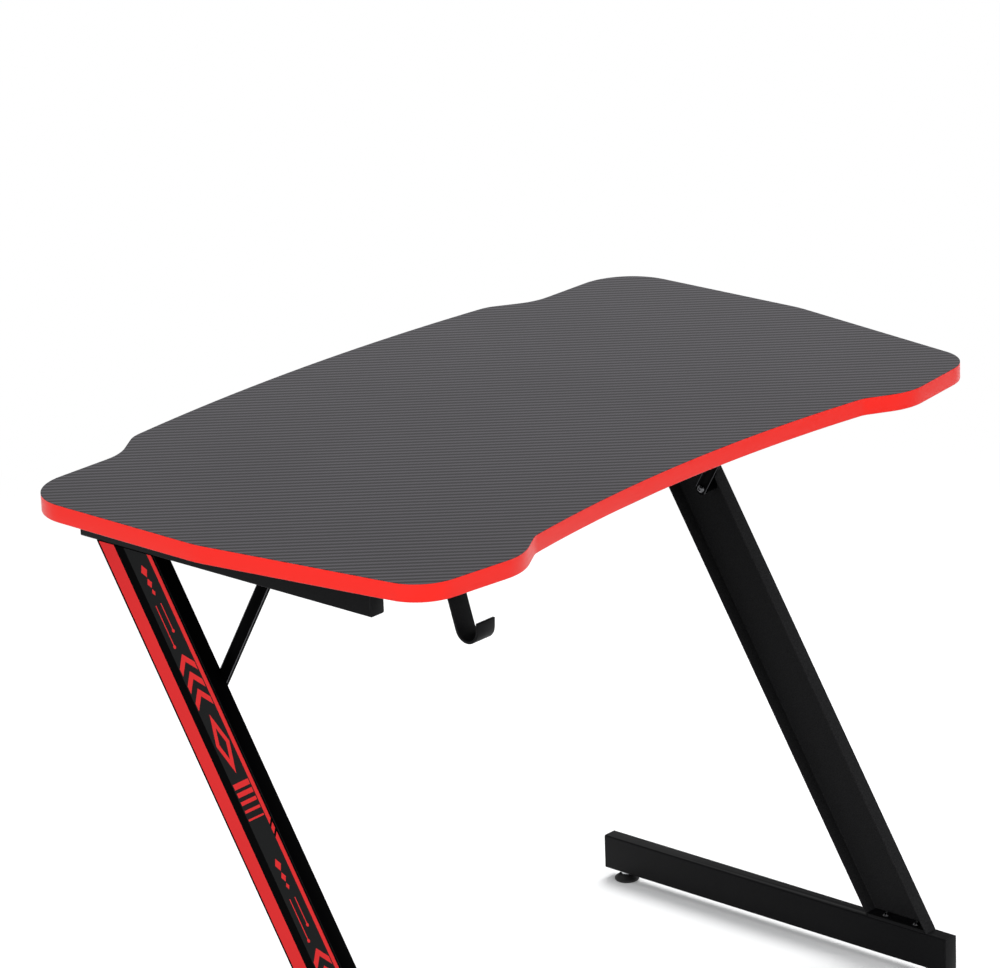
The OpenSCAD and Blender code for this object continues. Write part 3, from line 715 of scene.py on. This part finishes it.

# %% [markdown]
# ## Legs
#
# The legs wear the frame's black powder coat, with light and shade painted into it. The left
# leg's outside, its web and both flanges, is painted as black as the film's border: painted
# shade. Inside the channel, and on the right leg, the coat is painted a touch greyer than the
# rest of the frame: painted light. One material holds both: a point is outside where it lies
# less than half a wall below the outer faces, which the same leaning coordinates and the
# leg's outer face tell.

# %% Leg finish
LEG_WALL = 1.5 * MM
LEG_GREY_PAINTED_LIGHT = (0.0134, 0.0134, 0.0139)


def repaint(tree, shader, mask, colour):
    """Another colour where the mask is 1, over what the finish has."""
    coat_colour = shader.inputs["Base Color"].links[0].from_socket
    tree.links.new(mix_colours(tree, mask, coat_colour, colour), shader.inputs["Base Color"])


# Painted light: the base is greyer than the frame's powder coat.
leg_coat_light_and_shade, tree, shader = grained_material(
    "leg_coat_painted_light_and_shade", LEG_GREY_PAINTED_LIGHT, roughness=0.44, spread=0.05,
    scale=900, strength=0.25, depth=0.05 * MM, gloss=0.015)
leg_x, _, _ = split(tree, object_place(tree))
_, leg_across, _ = split(tree, object_place(tree, turn=(LEG_LEAN, 0, 0)))
flange_start = (LEG_WIDTH - LEG_WALL) / 2
on_flange = calc(tree, "GREATER_THAN", off_by(tree, leg_across, leg_middle), flange_start)
web_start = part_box("right_leg")[1].x - LEG_WALL / 2
on_web = calc(tree, "GREATER_THAN", calc(tree, "ABSOLUTE", leg_x), web_start)
left_side = calc(tree, "LESS_THAN", leg_x, 0)
# Painted shade: the left leg's outside is painted near-black.
repaint(tree, shader, both(tree, left_side, either(tree, on_flange, on_web)), PRINT_BLACK_AND_PAINTED_SHADE)
dress(leg_coat_light_and_shade, "black_steel", "left_leg", "right_leg")

# %% [markdown]
# ## Braces
#
# The braces are flat bars with a smooth coat, painted much darker than the rest of the frame:
# painted shade, where the rail, leg and top shade them. Along their long edges a fine grey
# line is painted: a painted highlight, for the light that a rounded edge catches. The line
# needs the distance from the bar's middle line, in coordinates that lean with the bar. The
# bar's box tells the lean: its round ends take half a width off each end of the box.

# %% Brace finish
BRACE_WIDTH = 15.5 * MM
BRACE_PAINTED_SHADE_BLACK = (0.0006, 0.0006, 0.0007)
EDGE_PAINTED_HIGHLIGHT_GREY = (0.085, 0.085, 0.09)
EDGE_HIGHLIGHT_SPAN = (0.1 * MM, 1.0 * MM)

bar_run = size_of("left_brace") - Vector((0, BRACE_WIDTH, BRACE_WIDTH))
bar_lean = math.atan2(bar_run.y, bar_run.z)
bar_centre = centre_of("left_brace")
bar_middle = bar_centre.y * math.cos(bar_lean) + bar_centre.z * math.sin(bar_lean)
# Painted shade: the base is darker than the frame's powder coat.
brace_coat_shade_and_highlight, tree, shader = grained_material(
    "brace_coat_painted_shade_and_highlight", BRACE_PAINTED_SHADE_BLACK, roughness=0.36, spread=0.05,
    scale=900, strength=0.15, depth=0.05 * MM, gloss=0.01)
_, bar_across, _ = split(tree, object_place(tree, turn=(-bar_lean, 0, 0)))
painted_edge_highlight = between(
    tree, off_by(tree, bar_across, bar_middle),
    BRACE_WIDTH / 2 - EDGE_HIGHLIGHT_SPAN[1], BRACE_WIDTH / 2 - EDGE_HIGHLIGHT_SPAN[0])
# Painted highlight: a fine grey line along each long edge.
repaint(tree, shader, painted_edge_highlight, EDGE_PAINTED_HIGHLIGHT_GREY)
dress(brace_coat_shade_and_highlight, "black_steel", "left_brace", "right_brace")
print("braces lean", round(math.degrees(bar_lean), 1), "degrees")

# %% [markdown]
# ## Soft edges
#
# No real edge is perfectly sharp. Powder coat rounds steel edges by about half a millimetre,
# and a moulded cap is rounder still, and each such edge catches a thin line of light. A
# shader could fake the line, but not the rounder outline. So where edges show, a copy of the
# solid gets a Bevel modifier: its doubled points are merged, its flat faces are joined, and
# only edges sharper than 30 degrees are rounded. The copy then stands for the solid.

# %% Rounding
SHARP = math.radians(30)
FLAT = math.radians(0.5)
SAME_POINT = 0.01 * MM


def soften(part, width, segments=2):
    """Rounds the sharp edges of the active object."""
    bevel = part.modifiers.new("soft_edges", "BEVEL")
    bevel.width = width
    bevel.segments = segments
    bevel.limit_method = "ANGLE"
    bevel.angle_limit = SHARP
    bpy.ops.object.modifier_apply(modifier=bevel.name)


def rounded_copy(node, body, width, segments=2):
    """A copy of a solid with soft edges, which replaces it. Returns its number of faces."""
    start_clean()
    source = nodes[node]
    copy = bpy.data.objects.new(f"{node}_soft", source.data.copy())
    bpy.context.scene.collection.objects.link(copy)
    bpy.context.view_layer.objects.active = copy
    copy.select_set(True)
    bpy.ops.object.mode_set(mode="EDIT")
    bpy.ops.mesh.select_all(action="SELECT")
    bpy.ops.mesh.remove_doubles(threshold=SAME_POINT)
    bpy.ops.mesh.dissolve_limited(angle_limit=FLAT)
    bpy.ops.object.mode_set(mode="OBJECT")
    soften(copy, width, segments)
    bpy.ops.object.shade_smooth_by_angle(angle=SHARP)
    for number, old_slot in enumerate(source.material_slots):
        copy.material_slots[number].material = old_slot.material
    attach(copy, body)
    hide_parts(node)
    return len(copy.data.polygons)


# %% Rounded copies
COAT_EDGE = 0.6 * MM
CAP_EDGE = 0.8 * MM
SHEET_EDGE = 0.15 * MM
BOLT_EDGE = 0.3 * MM

faces = {}
for name in STEEL:
    faces[name] = rounded_copy(name, "root", COAT_EDGE)
for name in CAPS:
    faces[name] = rounded_copy(name, "root", CAP_EDGE)
for foot in FEET:
    pad = f"{foot}_foot_pad"
    faces[pad] = rounded_copy(pad, f"{foot}_foot", CAP_EDGE)
for name, slot in (("top_laminate", "carbon_laminate"), ("edge_band", "red_edge_band")):
    faces[name] = rounded_copy(name, "root", SHEET_EDGE, segments=1)
for name in BLACK_BOLTS:
    faces[name] = rounded_copy(name, "root", BOLT_EDGE)
for name in ("top_bolts", "hook_screws"):
    faces[name] = rounded_copy(name, "root", BOLT_EDGE)
print(len(faces), "pieces with soft edges,", sum(faces.values()), "faces")

# %% [markdown]
# ## Threaded stems
#
# Each foot is a plastic pad on an M8 stem with a hexagon to turn it by. When a foot is
# screwed down, its thread shows below the rail. A bump pattern could fake it, but the thread
# is seen from the side, where only real ridges make a jagged outline. It is one small
# triangle, turned round the stem and lifted by one pitch a turn with the Screw modifier, on
# a core as thick as the thread's root. The stem is made standing at the origin, and its mesh
# then moves to its pad.

# %% Threads
THREAD_RADIUS = 4 * MM
ROOT_RADIUS = 3.25 * MM
M8_PITCH = 1.25 * MM
RIDGE = 0.63 * MM
HEX_SIDES = 6
HEX_RADIUS = 7.5 * MM
HEX_HEIGHT = 3.5 * MM
HEX_TURN = math.radians(30)
HEX_EDGE = 0.35 * MM
ROUND_SIDES = 32
THREAD_STEPS = 24


def turned_part(vertices, radius, low, high, turn=0.0):
    """A cylinder or prism round the Z axis, as the active object."""
    bpy.ops.mesh.primitive_cylinder_add(
        vertices=vertices, radius=radius, depth=high - low,
        location=(0, 0, (low + high) / 2), rotation=(0, 0, turn))
    bpy.ops.object.transform_apply()
    return bpy.context.active_object


def thread_ridge(first, last):
    """A screw-shaped ridge with closed ends, from one height up to just below another."""
    bpy.ops.mesh.primitive_circle_add(
        vertices=3, radius=RIDGE, location=(0, THREAD_RADIUS - RIDGE, first),
        rotation=(0, math.pi / 2, 0))
    bpy.ops.object.transform_apply()
    ridge = bpy.context.active_object
    screw = ridge.modifiers.new("thread", "SCREW")
    screw.screw_offset = M8_PITCH
    screw.iterations = int((last - first) / M8_PITCH)
    screw.steps = THREAD_STEPS
    screw.render_steps = THREAD_STEPS
    screw.use_merge_vertices = False
    bpy.ops.object.modifier_apply(modifier=screw.name)
    bpy.ops.object.mode_set(mode="EDIT")
    bpy.ops.mesh.select_all(action="SELECT")
    bpy.ops.mesh.fill_holes(sides=3)
    bpy.ops.mesh.select_all(action="SELECT")
    bpy.ops.mesh.normals_make_consistent(inside=False)
    bpy.ops.object.mode_set(mode="OBJECT")


def threaded_stem(foot):
    """The stem of one foot, with its hexagon and its thread."""
    start_clean()
    node = f"{foot}_foot_stem"
    low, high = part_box(node)
    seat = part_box(f"{foot}_foot_pad")[1].z
    hexagon = turned_part(HEX_SIDES, HEX_RADIUS, seat, seat + HEX_HEIGHT, HEX_TURN)
    soften(hexagon, HEX_EDGE)
    shank = turned_part(ROUND_SIDES, THREAD_RADIUS, low.z, seat)
    core = turned_part(ROUND_SIDES, ROOT_RADIUS, seat, high.z)
    soften(core, HEX_EDGE)
    thread_ridge(seat + HEX_HEIGHT + RIDGE, high.z - RIDGE)
    for part in (hexagon, shank, core):
        part.select_set(True)
    bpy.ops.object.join()
    stem = bpy.context.active_object
    stem.name = f"{node}_threaded"
    stem.data.name = stem.name
    bpy.ops.object.shade_smooth_by_angle(angle=SHARP)
    middle = centre_of(node)
    bpy.ops.transform.translate(value=(middle.x, middle.y, 0))
    bpy.ops.object.transform_apply()
    stem.data.materials.clear()
    stem.data.materials.append(zinc)
    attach(stem, f"{foot}_foot")
    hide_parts(node)
    return stem


for foot in FEET:
    stem = threaded_stem(foot)
    print(stem.name, len(stem.data.polygons), "faces")
